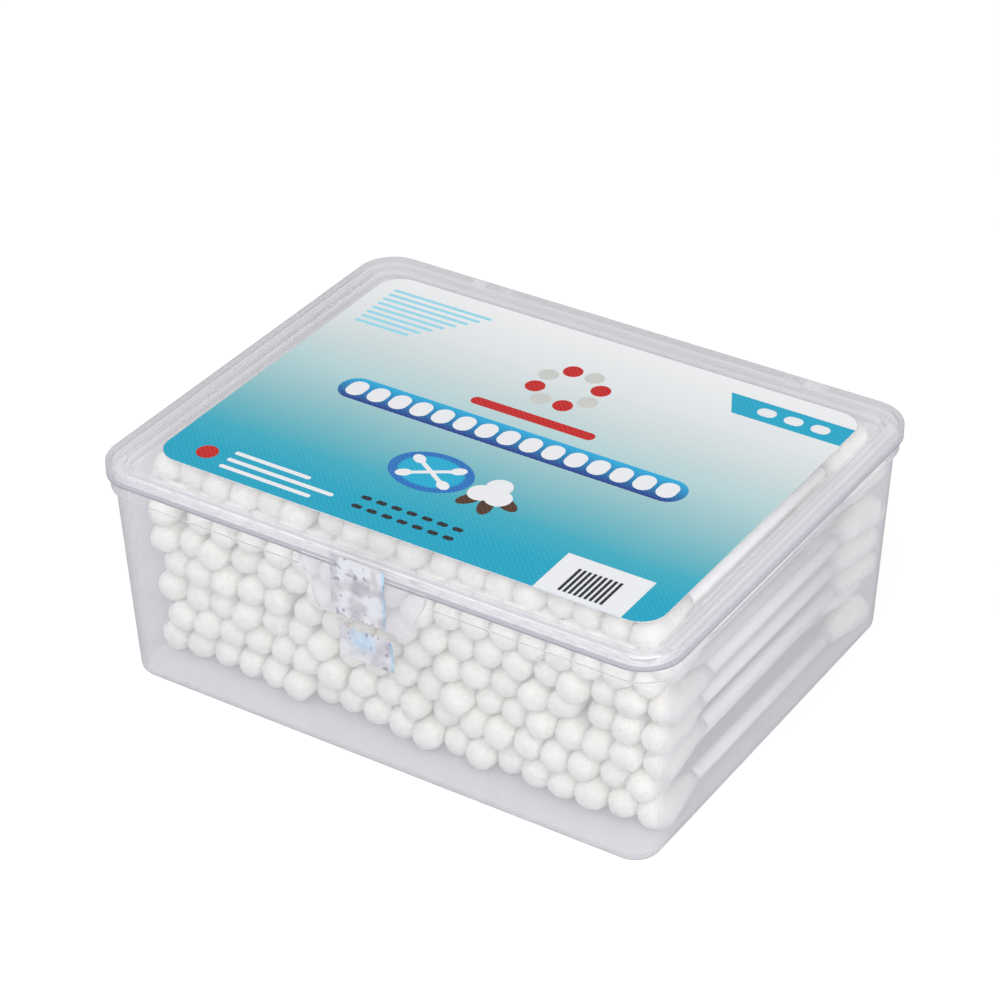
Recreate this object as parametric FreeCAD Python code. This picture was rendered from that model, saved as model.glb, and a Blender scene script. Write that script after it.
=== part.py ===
"""A clear hinged box of cotton swabs: tub, lid, printed label, cut seal and the swabs in their rows.

The frame's origin is at the middle of the underside of the tub. +X runs along the front to the
right, +Y to the back, where the hinge is, and +Z up. All lengths are in millimetres.
"""
import FreeCAD
import Part
import math
import os

V = FreeCAD.Vector

# Outside of the closed box
box_width = 108.0
box_depth = 85.0
box_height = 42.0
corner_radius = 7.0

# Lid
lid_top_thickness = 1.2
lid_skirt_thickness = 1.2
lid_skirt_height = 2.8
lid_edge_radius = 0.7
lip_thickness = 0.8
lip_depth = 1.0
lip_clearance = 0.5

# Tab at the middle of the lid's front
tab_top_width = 23.8
tab_waist_width = 21.0
tab_bottom_width = 18.8
tab_drop = 9.3
tab_thickness = 1.0
tab_corner_radius = 1.6

# Tub
wall_thickness = 1.2
floor_thickness = 1.2
wall_inset = 1.3
side_draft = 2.1
end_draft = 1.05
foot_radius = 1.8
flange_height = 2.6
flange_inset = 0.6
flange_blend = 0.5
seam_gap = 0.2
tab_notch_clearance = 0.5

# Hinge at the back: the tub has the bored ears, the lid has the lugs with their pins
hinge_spacing = 64.0
hinge_setback = 1.5
hinge_drop = 1.7
pin_radius = 0.9
pin_clearance = 0.05
ear_radius = 1.9
ear_width = 3.0
lug_radius = 1.8
lug_width = 3.0
hinge_side_gap = 0.3
ear_gusset = 1.4

# Swabs, which lie from front to back and fill the tub but for the gaps named here
tip_radius = 2.55
tip_end_radius = 1.35
tip_nose = 2.3
tip_length = 14.0
stick_radius = 1.15
swab_sides = 6
tip_squash = 1.08
tip_gap = 0.05
row_gap = 0.1
pile_side_gap = 0.3
pile_floor_gap = 0.1
pile_lid_gap = 0.4
pile_front_gap = 5.1
pile_back_gap = 1.4
row_unevenness = 0.6

# Label on the lid, set in from the lid's edges
label_margin_left = 7.3
label_margin_right = 6.1
label_margin_front = 7.8
label_margin_back = 7.2
label_corner_radius = 4.5
label_thickness = 0.12
ink_thickness = 0.03
deep_band_depth = 15.0
mid_band_depth = 15.0
pale_band_depth = 17.0

# Long band with beads in the middle of the label
title_length = 67.0
title_width = 6.6
title_beads = 15
title_bead_share = 0.8
title_bead_width = 4.5
title_from_front = 34.2

# Oval badge with two crossed swabs, and a puff with leaves beside it
badge_half_length = 7.6
badge_half_width = 5.6
badge_from_front = 18.9
badge_left_of_middle = 5.1
cross_length = 9.0
cross_thickness = 0.8
cross_angle = 32.0
cross_tip_length = 1.4
cross_tip_width = 1.0
puff_radius = 2.3
puff_spread = 1.9
puff_right_of_middle = 6.8
leaf_angles = (235.0, 285.0, 335.0)
leaf_length = 5.0
leaf_width = 2.6
leaf_reach = 4.0

# Panel with plain bars at the front right
panel_width = 15.8
panel_depth = 10.7
panel_from_right = 5.4
panel_bars = 9
panel_bar_share = 0.55
panel_margin_side = 3.7
panel_margin_front = 1.2
panel_bar_length = 6.6

# Slanted flag at the back right
flag_length = 23.2
flag_depth = 5.6
flag_slant = 3.0
flag_from_back = 4.0
flag_dots = 3
flag_dot_length = 3.4
flag_dot_width = 2.4
flag_dot_step = 5.0

# Fine lines at the back left
notes_from_left = 3.4
notes_from_back = 4.7
notes_lines = 8
notes_length = 20.5
notes_shorter = 1.35
notes_width = 0.75
notes_step = 1.7

# Ring of dots behind the long band, with a bar between them
emblem_from_title = 18.5
emblem_dots = 8
emblem_radius = 5.6
emblem_dot_radius = 1.75
emblem_bar_length = 24.0
emblem_bar_width = 2.2
emblem_bar_from_title = 7.3

# Lines and dashes along the front of the label
lines_from_left = 11.7
lines_from_front = 7.1
lines_step = 2.2
lines_width = 0.9
line_lengths = (15.0, 21.0, 18.0)
mark_from_left = 7.6
mark_radius = 1.9
dash_columns = 7
dash_rows = 2
dash_length = 1.9
dash_width = 1.0
dash_step = 2.9
dash_row_step = 2.8
dash_left_of_middle = 9.6

# Seal strip, cut through below the tab
seal_width = 10.3
seal_shift = -0.7
seal_thickness = 0.06
seal_cut_gap = 1.0
seal_low_length = 6.4
seal_low_drop = 1.7

# What follows from the sizes above
seam_height = box_height - lid_skirt_height
tub_height = seam_height - seam_gap
lid_underside = box_height - lid_top_thickness
tub_top_width = box_width - 2 * wall_inset
tub_top_depth = box_depth - 2 * wall_inset
front_face = -box_depth / 2
hinge_y = box_depth / 2 + hinge_setback
hinge_z = seam_height - hinge_drop
lip_bottom = seam_height - lip_depth
lip_inset = wall_inset + wall_thickness + lip_clearance
tip_height = 2 * tip_radius * math.sin(math.pi / 3) * tip_squash
pile_low = floor_thickness + pile_floor_gap
pile_high = lid_underside - pile_lid_gap
swab_rows = int((pile_high - pile_low + row_gap) / (tip_height + row_gap))
row_rise = (pile_high - pile_low - tip_height) / (swab_rows - 1)
swab_length = tub_top_depth - 2 * wall_thickness - pile_front_gap - pile_back_gap
swab_length -= 2 * end_draft * (1 - pile_low / tub_height)
label_left = label_margin_left - box_width / 2
label_right = box_width / 2 - label_margin_right
label_front = label_margin_front - box_depth / 2
label_back = box_depth / 2 - label_margin_back
label_width = label_right - label_left
label_depth = label_back - label_front
label_middle = (label_left + label_right) / 2
lines_y = label_front + lines_from_front
title_y = label_front + title_from_front


def rounded_wire(width, depth, radius, z):
    """The outline of a rounded rectangle centred on the origin, at height z."""
    x = width / 2
    y = depth / 2
    c = radius * (1 - math.sqrt(0.5))
    corners = [
        (V(x - radius, -y, z), V(x - c, -y + c, z), V(x, -y + radius, z)),
        (V(x, y - radius, z), V(x - c, y - c, z), V(x - radius, y, z)),
        (V(-x + radius, y, z), V(-x + c, y - c, z), V(-x, y - radius, z)),
        (V(-x, -y + radius, z), V(-x + c, -y + c, z), V(-x + radius, -y, z)),
    ]
    edges = []
    for i, (start, middle, end) in enumerate(corners):
        edges.append(Part.Arc(start, middle, end).toShape())
        edges.append(Part.LineSegment(end, corners[(i + 1) % 4][0]).toShape())
    return Part.Wire(edges)


def rounded_block(width, depth, radius, z, height):
    """A straight block over a rounded rectangle."""
    face = Part.Face(rounded_wire(width, depth, radius, z))
    return face.extrude(V(0, 0, height))


def tapered_block(width, depth, radius, z_low, z_high, inset):
    """The tub's outer form between two heights, drawn in by inset all round."""
    wires = []
    for z in (z_low, z_high):
        rise = 1 - z / tub_height
        w = width - 2 * side_draft * rise - 2 * inset
        d = depth - 2 * end_draft * rise - 2 * inset
        r = radius - end_draft * rise - inset
        wires.append(rounded_wire(w, d, r, z))
    return Part.makeLoft(wires, True, True)


def box_between(x0, x1, y0, y1, z0, z1):
    """A block between two corners."""
    return Part.makeBox(x1 - x0, y1 - y0, z1 - z0, V(x0, y0, z0))


def side_profile(points, x, width):
    """A plate of the given width from x, with its outline in the YZ plane."""
    corners = [V(x, y, z) for y, z in points]
    face = Part.Face(Part.makePolygon(corners + corners[:1]))
    return face.extrude(V(width, 0, 0))


def cross_cylinder(radius, x, width):
    """A cylinder along X on the hinge's axis."""
    return Part.makeCylinder(radius, width, V(x, hinge_y, hinge_z), V(1, 0, 0))


def edges_at(shape, z):
    """The edges of a shape that lie flat at height z."""
    found = []
    for edge in shape.Edges:
        b = edge.BoundBox
        if abs(b.ZMin - z) < 1e-4 and abs(b.ZMax - z) < 1e-4:
            found.append(edge)
    return found


def tab_outline():
    """The tab's outline in the plane of the lid's front, from its top left corner round."""
    top = seam_height + lid_skirt_thickness
    low = seam_height - tab_drop
    half_top = tab_top_width / 2
    half_waist = tab_waist_width / 2
    half_low = tab_bottom_width / 2
    shoulder = seam_height
    waist = seam_height - tab_drop * 0.45
    r = tab_corner_radius
    y = front_face
    pieces = []

    def add_side(sign):
        curve = Part.BSplineCurve()
        curve.interpolate(
            Points=[
                V(sign * half_top, y, shoulder),
                V(sign * half_waist, y, waist),
                V(sign * half_low, y, low + r),
            ],
            InitialTangent=V(0, 0, -1),
            FinalTangent=V(0, 0, -1),
        )
        pieces.append(curve.toShape())
        c = r * (1 - math.sqrt(0.5))
        start = V(sign * half_low, y, low + r)
        middle = V(sign * (half_low - c), y, low + c)
        end = V(sign * (half_low - r), y, low)
        pieces.append(Part.Arc(start, middle, end).toShape())
        corner = V(sign * half_top, y, top)
        pieces.append(Part.LineSegment(corner, V(sign * half_top, y, shoulder)).toShape())

    add_side(-1)
    add_side(1)
    pieces.append(Part.LineSegment(V(-half_top, y, top), V(half_top, y, top)).toShape())
    pieces.append(Part.LineSegment(V(r - half_low, y, low), V(half_low - r, y, low)).toShape())
    return Part.Wire(Part.__sortEdges__(pieces))


def hinge_sides():
    """For each hinge: the low X of the ear, of the lug inside it, and the pin's low X and length."""
    reach = ear_width + hinge_side_gap
    rows = []
    for side in (-1, 1):
        inner = side * hinge_spacing / 2
        ear_x = inner if side > 0 else inner - ear_width
        lug_x = inner - hinge_side_gap - lug_width if side > 0 else inner + hinge_side_gap
        pin_x = inner - hinge_side_gap if side > 0 else inner + hinge_side_gap - reach
        rows.append((ear_x, lug_x, pin_x, reach))
    return rows


def make_tub():
    """The tub: tapered walls, a rolled flange under the seam and two bored ears at the back."""
    body = tapered_block(tub_top_width, tub_top_depth, corner_radius - wall_inset, 0, tub_height, 0)
    body = body.makeFillet(foot_radius, edges_at(body, 0))
    flange_width = box_width - 2 * flange_inset
    flange_depth = box_depth - 2 * flange_inset
    flange = rounded_block(
        flange_width,
        flange_depth,
        corner_radius - flange_inset,
        tub_height - flange_height,
        flange_height,
    )
    flange = flange.makeFillet(flange_blend, edges_at(flange, tub_height - flange_height))
    notch_half = tab_top_width / 2 + tab_notch_clearance
    notch = box_between(
        -notch_half,
        notch_half,
        front_face - 1,
        front_face + wall_inset - 0.01,
        tub_height - flange_height - 1,
        tub_height + 1,
    )
    body = body.fuse(flange.cut(notch))
    for ear_x, _lug_x, _pin_x, _reach in hinge_sides():
        root = box_depth / 2 - wall_inset - wall_thickness / 2
        points = [
            (root, hinge_z - ear_radius - ear_gusset),
            (root, hinge_z + ear_radius * 0.58),
            (hinge_y - ear_radius * 0.5, hinge_z + ear_radius * 0.84),
            (hinge_y, hinge_z),
            (hinge_y, hinge_z - ear_radius),
        ]
        ear = side_profile(points, ear_x, ear_width).fuse(cross_cylinder(ear_radius, ear_x, ear_width))
        body = body.fuse(ear)
        body = body.cut(cross_cylinder(pin_radius + pin_clearance, ear_x - 1, ear_width + 2))
    cavity = tapered_block(
        tub_top_width,
        tub_top_depth,
        corner_radius - wall_inset,
        floor_thickness,
        tub_height + 0.01,
        wall_thickness,
    )
    return body.cut(cavity).removeSplitter()


def make_lid():
    """The lid: a shallow cap with a locating lip, the front tab and two hinge lugs with pins."""
    cap = rounded_block(box_width, box_depth, corner_radius, seam_height, lid_skirt_height)
    cap = cap.makeFillet(lid_edge_radius, edges_at(cap, box_height))
    hollow = rounded_block(
        box_width - 2 * lid_skirt_thickness,
        box_depth - 2 * lid_skirt_thickness,
        corner_radius - lid_skirt_thickness,
        seam_height - 1,
        lid_underside - seam_height + 1,
    )
    lip = rounded_block(
        box_width - 2 * lip_inset,
        box_depth - 2 * lip_inset,
        corner_radius - lip_inset,
        lip_bottom,
        lid_underside - lip_bottom,
    )
    inside = lip_inset + lip_thickness
    lip_hole = rounded_block(
        box_width - 2 * inside,
        box_depth - 2 * inside,
        corner_radius - inside,
        lip_bottom - 1,
        lid_underside - lip_bottom + 1,
    )
    lid = cap.cut(hollow).fuse(lip.cut(lip_hole))
    tab = Part.Face(tab_outline()).extrude(V(0, tab_thickness, 0))
    tab_room = box_between(
        -tab_top_width,
        tab_top_width,
        front_face - 1,
        front_face + tab_thickness + 1,
        seam_height - tab_drop - 1,
        box_height - lid_edge_radius,
    )
    lid = lid.fuse(tab.common(tab_room))
    for _ear_x, lug_x, pin_x, reach in hinge_sides():
        face = box_depth / 2
        points = [
            (hinge_y - lug_radius, hinge_z),
            (face - 0.2, seam_height + 0.2),
            (face - 0.2, box_height - lid_edge_radius),
            (face + 0.5, box_height - lid_edge_radius - 0.4),
            (hinge_y + lug_radius, hinge_z),
        ]
        lug = side_profile(points, lug_x, lug_width).fuse(cross_cylinder(lug_radius, lug_x, lug_width))
        lid = lid.fuse(lug)
        lid = lid.fuse(cross_cylinder(pin_radius, pin_x, reach))
    return lid.removeSplitter()


def ring(x, y, z, radius):
    """A closed ring of points across a swab, with corners to the left and right."""
    turn = 2 * math.pi / swab_sides
    return [
        V(x + radius * math.cos(i * turn), y, z + tip_squash * radius * math.sin(i * turn))
        for i in range(swab_sides)
    ]


def make_swab(x, y, z):
    """One swab along Y: a cotton tip at each end of a thin stick, from its front end at y."""
    far = y + swab_length
    rings = [
        ring(x, y, z, tip_end_radius),
        ring(x, y + tip_nose, z, tip_radius),
        ring(x, y + tip_length, z, stick_radius),
        ring(x, far - tip_length, z, stick_radius),
        ring(x, far - tip_nose, z, tip_radius),
        ring(x, far, z, tip_end_radius),
    ]
    faces = []
    for a, b in zip(rings, rings[1:]):
        for i in range(swab_sides):
            j = (i + 1) % swab_sides
            faces.append(Part.Face(Part.makePolygon([a[i], a[j], b[j], b[i], a[i]])))
    for end in (rings[0], rings[-1]):
        faces.append(Part.Face(Part.makePolygon(end + end[:1])))
    solid = Part.Solid(Part.Shell(faces))
    if solid.Volume < 0:
        solid.reverse()
    return solid


def clear_inside(z_low, z_high):
    """Half the clear width and half the clear depth around a layer of the pile."""
    lean = 1 - z_low / tub_height
    half_width = tub_top_width / 2 - wall_thickness - side_draft * lean
    half_depth = tub_top_depth / 2 - wall_thickness - end_draft * lean
    if z_high + pile_side_gap > lip_bottom:
        half_width = min(half_width, box_width / 2 - lip_inset - lip_thickness)
        half_depth = min(half_depth, box_depth / 2 - lip_inset - lip_thickness)
    return half_width, half_depth


def make_swab_row(row):
    """One layer of swabs from wall to wall; every other layer holds one fewer."""
    z = pile_low + tip_height / 2 + row * row_rise
    half_width, half_depth = clear_inside(z - tip_height / 2, z + tip_height / 2)
    reach = half_width - pile_side_gap - tip_radius
    count = 1 + int(2 * reach / (2 * tip_radius + tip_gap)) - row % 2
    front = half_depth - pile_back_gap - swab_length
    swabs = []
    for i in range(count):
        x = -reach + 2 * reach * i / (count - 1)
        middle = math.sin(math.pi * i / (count - 1))
        shift = row_unevenness * middle * math.sin(2.4 * i + 1.7 * row)
        swabs.append(make_swab(x, front + shift, z))
    return Part.makeCompound(swabs)


def label_block(level, thickness):
    """The label's whole outline as a thin layer; level counts the layers of print below it."""
    z = box_height
    if level > 0:
        z += label_thickness + (level - 1) * ink_thickness
    block = rounded_block(label_width, label_depth, label_corner_radius, z, thickness)
    block.translate(V(label_middle, (label_front + label_back) / 2, 0))
    return block


def label_field(y0, y1):
    """The first layer of print between two depths on the label."""
    reach = label_width
    band = box_between(-reach, reach, y0, y1, box_height - 1, box_height + 1)
    return label_block(1, ink_thickness).common(band)


def print_z(level):
    """The height of the underside of a layer of print."""
    return box_height + label_thickness + (level - 1) * ink_thickness


def print_bar(x, y, length, width, level):
    """A printed bar with round ends, centred on x, y."""
    bar = rounded_block(length, width, min(length, width) * 0.49, print_z(level), ink_thickness)
    bar.translate(V(x, y, 0))
    return bar


def print_disc(x, y, radius, level):
    """A printed round dot."""
    return Part.makeCylinder(radius, ink_thickness, V(x, y, print_z(level)))


def print_oval(x, y, long_radius, short_radius, level):
    """A printed oval, long along X."""
    curve = Part.Ellipse(V(x, y, print_z(level)), long_radius, short_radius)
    return Part.Face(Part.Wire(curve.toShape())).extrude(V(0, 0, ink_thickness))


def print_shape(points, level):
    """A printed straight-sided shape."""
    corners = [V(x, y, print_z(level)) for x, y in points]
    return Part.Face(Part.makePolygon(corners + corners[:1])).extrude(V(0, 0, ink_thickness))


def make_label_fields():
    """The four fields of the label's colour, from deep at the front to near white at the back."""
    edges = [label_front]
    for depth in (deep_band_depth, mid_band_depth, pale_band_depth):
        edges.append(edges[-1] + depth)
    edges.append(label_back)
    names = ["label_field_deep", "label_field_mid", "label_field_pale", "label_field_back"]
    return {name: label_field(edges[i], edges[i + 1]) for i, name in enumerate(names)}


def make_navy_print():
    """The long band in the middle of the label."""
    return Part.makeCompound([print_bar(label_middle, title_y, title_length, title_width, 2)])


def title_bead_prints():
    """The row of beads on the long band."""
    step = (title_length - title_width) / (title_beads - 1)
    first = label_middle - step * (title_beads - 1) / 2
    return [
        print_bar(first + i * step, title_y, step * title_bead_share, title_bead_width, 3)
        for i in range(title_beads)
    ]


def panel_print():
    """The panel's own field."""
    right = label_right - panel_from_right
    left = right - panel_width
    back = label_front + panel_depth
    return print_shape([(left, label_front), (right, label_front), (right, back), (left, back)], 2)


def crossed_swabs_print():
    """Two crossed swabs on the badge, as one shape."""
    cross = None
    for turn in (-cross_angle, cross_angle):
        swab = print_bar(0, 0, cross_length, cross_thickness, 3)
        for end in (-cross_length / 2, cross_length / 2):
            swab = swab.fuse(print_oval(end, 0, cross_tip_length, cross_tip_width, 3))
        swab.rotate(V(0, 0, 0), V(0, 0, 1), turn)
        cross = swab if cross is None else cross.fuse(swab)
    cross.translate(V(label_middle - badge_left_of_middle, label_front + badge_from_front, 0))
    return cross.removeSplitter()


def puff_print():
    """A puff of three joined discs beside the badge."""
    puff = None
    for angle in (90, 210, 330):
        x = label_middle + puff_right_of_middle + puff_spread * math.cos(math.radians(angle))
        y = label_front + badge_from_front + puff_spread * math.sin(math.radians(angle))
        disc = print_disc(x, y, puff_radius, 2)
        puff = disc if puff is None else puff.fuse(disc)
    return puff.removeSplitter()


def make_brown_print():
    """Leaves that fan out from under the puff, as one shape each."""
    puff = puff_print()
    shapes = []
    for angle in leaf_angles:
        leaf = print_oval(leaf_reach, 0, leaf_length / 2, leaf_width / 2, 2)
        leaf.rotate(V(0, 0, 0), V(0, 0, 1), angle)
        leaf.translate(V(label_middle + puff_right_of_middle, label_front + badge_from_front, 0))
        shapes.extend(leaf.cut(puff).Solids)
    return Part.makeCompound(shapes)


def make_white_print():
    """Beads, panel, crossed swabs, puff, a few lines at the front left and the flag's dots."""
    shapes = title_bead_prints() + [panel_print(), crossed_swabs_print(), puff_print()]
    for i, length in enumerate(line_lengths):
        x = label_left + lines_from_left + length / 2
        shapes.append(print_bar(x, lines_y - i * lines_step, length, lines_width, 2))
    y = label_back - flag_from_back - flag_depth / 2
    for i in range(flag_dots):
        x = label_right - (flag_dots - i) * flag_dot_step
        shapes.append(print_bar(x, y, flag_dot_length, flag_dot_width, 3))
    return Part.makeCompound(shapes)


def make_blue_print():
    """The slanted flag at the back right, and the oval badge."""
    left = label_right - flag_length
    back = label_back - flag_from_back
    front = back - flag_depth
    flag = print_shape(
        [(left, back), (left + flag_slant, front), (label_right, front), (label_right, back)], 2
    )
    x = label_middle - badge_left_of_middle
    y = label_front + badge_from_front
    return Part.makeCompound([flag, print_oval(x, y, badge_half_length, badge_half_width, 2)])


def make_black_print():
    """Plain even bars on the panel, and rows of dashes at the front."""
    shapes = []
    left = label_right - panel_from_right - panel_width + panel_margin_side
    step = (panel_width - 2 * panel_margin_side) / panel_bars
    width = step * panel_bar_share
    y = label_front + panel_margin_front
    for i in range(panel_bars):
        x = left + i * step
        far = y + panel_bar_length
        shapes.append(print_shape([(x, y), (x + width, y), (x + width, far), (x, far)], 3))
    for row in range(dash_rows):
        for i in range(dash_columns):
            x = label_middle - dash_left_of_middle + i * dash_step
            shapes.append(print_bar(x, lines_y - row * dash_row_step, dash_length, dash_width, 2))
    return Part.makeCompound(shapes)


def ring_prints(first):
    """Every other dot of the ring of dots."""
    shapes = []
    for i in range(first, emblem_dots, 2):
        a = 2 * math.pi * (i + 0.5) / emblem_dots
        x = label_middle + emblem_radius * math.cos(a)
        y = title_y + emblem_from_title + emblem_radius * math.sin(a)
        shapes.append(print_disc(x, y, emblem_dot_radius, 2))
    return shapes


def make_red_print():
    """The red dots of the ring, a red bar before it and a round mark left of the lines."""
    y = title_y + emblem_bar_from_title
    bar = print_bar(label_middle, y, emblem_bar_length, emblem_bar_width, 2)
    mark = print_disc(label_left + mark_from_left, lines_y - lines_step, mark_radius, 2)
    return Part.makeCompound(ring_prints(0) + [bar, mark])


def make_grey_print():
    """The grey dots of the ring."""
    return Part.makeCompound(ring_prints(1))


def make_pale_blue_print():
    """Fine lines at the back left, shorter towards the front."""
    shapes = []
    for i in range(notes_lines):
        length = notes_length - notes_shorter * i
        x = label_left + notes_from_left + length / 2
        y = label_back - notes_from_back - notes_step * i
        shapes.append(print_bar(x, y, length, notes_width, 2))
    return Part.makeCompound(shapes)


def make_seal_upper():
    """The seal's upper part, down the lid's skirt and tab."""
    low = seam_height - tab_drop
    high = box_height - lid_edge_radius
    x = seal_shift - seal_width / 2
    return box_between(x, x + seal_width, front_face - seal_thickness, front_face, low, high)


def make_seal_lower():
    """The seal's lower part on the tub's sloping front wall, below the cut."""
    slope = end_draft / tub_height
    top = seam_height - tab_drop - seal_cut_gap - seal_low_drop
    foot = top - seal_low_length
    x = seal_shift - seal_width / 2

    def wall_at(z):
        return front_face + wall_inset + slope * (tub_height - z)

    points = [
        (wall_at(foot), foot),
        (wall_at(top), top),
        (wall_at(top) - seal_thickness, top),
        (wall_at(foot) - seal_thickness, foot),
    ]
    return side_profile(points, x, seal_width)


nodes = {
    "box_base": make_tub(),
    "lid": make_lid(),
    "label_sheet": label_block(0, label_thickness),
    "label_navy_print": make_navy_print(),
    "label_white_print": make_white_print(),
    "label_blue_print": make_blue_print(),
    "label_brown_print": make_brown_print(),
    "label_black_print": make_black_print(),
    "label_red_print": make_red_print(),
    "label_grey_print": make_grey_print(),
    "label_pale_blue_print": make_pale_blue_print(),
    "seal_upper": make_seal_upper(),
    "seal_lower": make_seal_lower(),
}
nodes.update(make_label_fields())
for row in range(swab_rows):
    nodes[f"swab_row_{row + 1}"] = make_swab_row(row)

os.makedirs("parts", exist_ok=True)
for name, shape in nodes.items():
    shape.exportStep(f"parts/{name}.step")
    b = shape.BoundBox
    print(
        name,
        "solids", len(shape.Solids),
        "valid", shape.isValid(),
        "volume", round(shape.Volume, 2),
        "box", [round(v, 2) for v in (b.XMin, b.XMax, b.YMin, b.YMax, b.ZMin, b.ZMax)],
    )
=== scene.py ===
"""Looks for the cotton swab box: clear plastic, a printed label, a cut seal and cotton swabs.

Lengths are in metres, or in millimetres where a heading says so. The frame holds every rigid piece in its
place. This script gives each one its finish, and puts finely modelled swabs, seal strips and label film
where the plain ones are.
"""
import math
import random

import bpy
from mathutils import Matrix, Vector, noise


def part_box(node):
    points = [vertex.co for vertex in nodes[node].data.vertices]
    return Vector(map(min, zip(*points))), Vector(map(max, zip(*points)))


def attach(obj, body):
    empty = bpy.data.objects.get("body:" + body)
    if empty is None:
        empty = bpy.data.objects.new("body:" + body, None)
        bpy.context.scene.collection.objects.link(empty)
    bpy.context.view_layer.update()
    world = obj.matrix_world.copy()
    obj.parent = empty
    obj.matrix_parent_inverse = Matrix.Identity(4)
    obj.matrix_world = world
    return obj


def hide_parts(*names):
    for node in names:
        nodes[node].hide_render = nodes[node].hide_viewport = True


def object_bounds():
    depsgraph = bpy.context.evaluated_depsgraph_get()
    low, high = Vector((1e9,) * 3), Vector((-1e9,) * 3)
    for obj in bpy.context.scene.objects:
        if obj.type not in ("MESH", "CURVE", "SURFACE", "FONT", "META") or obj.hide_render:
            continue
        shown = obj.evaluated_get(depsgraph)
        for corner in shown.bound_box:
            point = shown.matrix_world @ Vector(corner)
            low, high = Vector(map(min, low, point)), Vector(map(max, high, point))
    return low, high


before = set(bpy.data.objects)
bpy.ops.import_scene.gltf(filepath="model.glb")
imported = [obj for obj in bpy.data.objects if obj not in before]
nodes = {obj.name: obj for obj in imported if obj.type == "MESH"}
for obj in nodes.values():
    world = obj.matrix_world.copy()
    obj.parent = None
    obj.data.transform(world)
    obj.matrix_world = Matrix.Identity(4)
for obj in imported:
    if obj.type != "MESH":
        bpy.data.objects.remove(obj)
cad_low, cad_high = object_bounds()

MM = 0.001

# The photograph's view
VIEW_AZIMUTH = math.radians(33.125)
VIEW_ELEVATION = math.radians(33.011)
VIEW_ROLL = math.radians(-0.816)
VIEW_DISTANCE = 0.5624
VIEW_RIGHT = -0.0017
VIEW_UP = 0.0248
VIEW_LENS = 118.2
SENSOR = 36.0

# Stage
FLOOR_GREY = (0.415, 0.410, 0.448)
FLOOR_SHADOW = 0.3
FLOOR_REACH = 3.0
FLOOR_DROP = 0.0002
WORLD_LIGHT = 0.58

WHITE = (1.0, 1.0, 1.0)
BLACK = (0.0, 0.0, 0.0)

# Clear plastic: the haze is its milky share, by how far a face is turned from the eye (0 to 1)
PLASTIC_TINT = (0.955, 0.95, 0.975)
LID_TINT = (0.96, 0.955, 0.98)
EDGE_TINT = (0.90, 0.89, 0.93)
EDGE_TINT_FROM = 0.55
SOFT_LIGHT_TINT = (0.985, 0.985, 0.99)
PLASTIC_ROUGHNESS = 0.04
LEAST_ROUGHNESS = 0.02
PLASTIC_WEAR = 0.05
WEAR_GRAIN = 240.0
PLASTIC_BEND = 1.13
COAT_BEND = 1.5
SQUARE_ON = 0.28
SLANTED = 0.56
EDGE_ON = 0.97
PLASTIC_HAZE = 0.22
SLANT_HAZE = 0.37
EDGE_HAZE = 0.45
HAZE_COLOUR = (0.700, 0.695, 0.715)

# The lid's rim is milkier, and a painted shade line marks where the lid sits on the tub, in place of the
# darkening that light bent inside the plastic gives there
RIM_HAZE = 0.27
TAB_HAZE = 0.2
RIM_WIDTH = 0.0028
RIM_FADE_IN = -0.0006
RIM_FADE_OUT = 0.0004
SEAM_SHADE_COLOUR = (0.27, 0.27, 0.32)
SEAM_SHADE_SHARE = 0.9
SEAM_SHADE_LOW = 0.0391
SEAM_SHADE_HIGH = 0.0395

# The label's film and print, and its badge
PRINT_ROUGHNESS = 0.42
PRINT_SHINE = 0.22
WEAVE_FINENESS = 420.0
WEAVE_WOBBLE = 0.8
WEAVE_DEPTH = 0.00003
WEAVE_SHARE = 0.035
GRADIENT_GRAIN = 45.0
GRADIENT_DRIFT = 0.04
BADGE_X = -0.0045
BADGE_Y = -0.0158
BADGE_HALF_LENGTH = 0.0076
BADGE_HALF_WIDTH = 0.0056
LABEL_CORNER = 0.0045
CORNER_STEPS = 8
LABEL_CLEARANCE = 0.00003
UNDERSIDE = (0.78, 0.79, 0.81)

# Seal film: its print, its clearer thin places, its blue edge and patch, and its mesh
SEAL_COLOUR = (0.7, 0.7, 0.76)
SEAL_ROUGHNESS = 0.3
SEAL_METAL = 0.2
SEAL_PATCHES = 210.0
SEAL_FLAKES = 2200.0
SEAL_MARKS = 900.0
SEAL_DEPTH = 0.00003
FLAKE_COLOUR = (0.92, 0.93, 0.98)
FLAKE_SHARE = 0.16
MARK_COLOUR = (0.22, 0.21, 0.30)
MARK_SHARE = 0.75
MARK_BLUR = 0.04
THIN_TINT = (0.97, 0.97, 0.985)
THIN_FADE = 0.16
BLUE_PATCH_COLOUR = (0.50, 0.68, 0.84)
BLUE_PATCH_SHARE = 0.75
BLUE_PATCH_HALF_WIDTH = 0.0030
BLUE_PATCH_HALF_HEIGHT = 0.0024
BLUE_EDGE_COLOUR = (0.30, 0.62, 0.82)
BLUE_EDGE_SHARE = 0.7
BLUE_EDGE_FROM = 0.0037
BLUE_EDGE_TO = 0.0044
SEAL_THICKNESS = 0.00004
SEAL_COLUMNS = 26
SEAL_ROWS = 6

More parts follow.
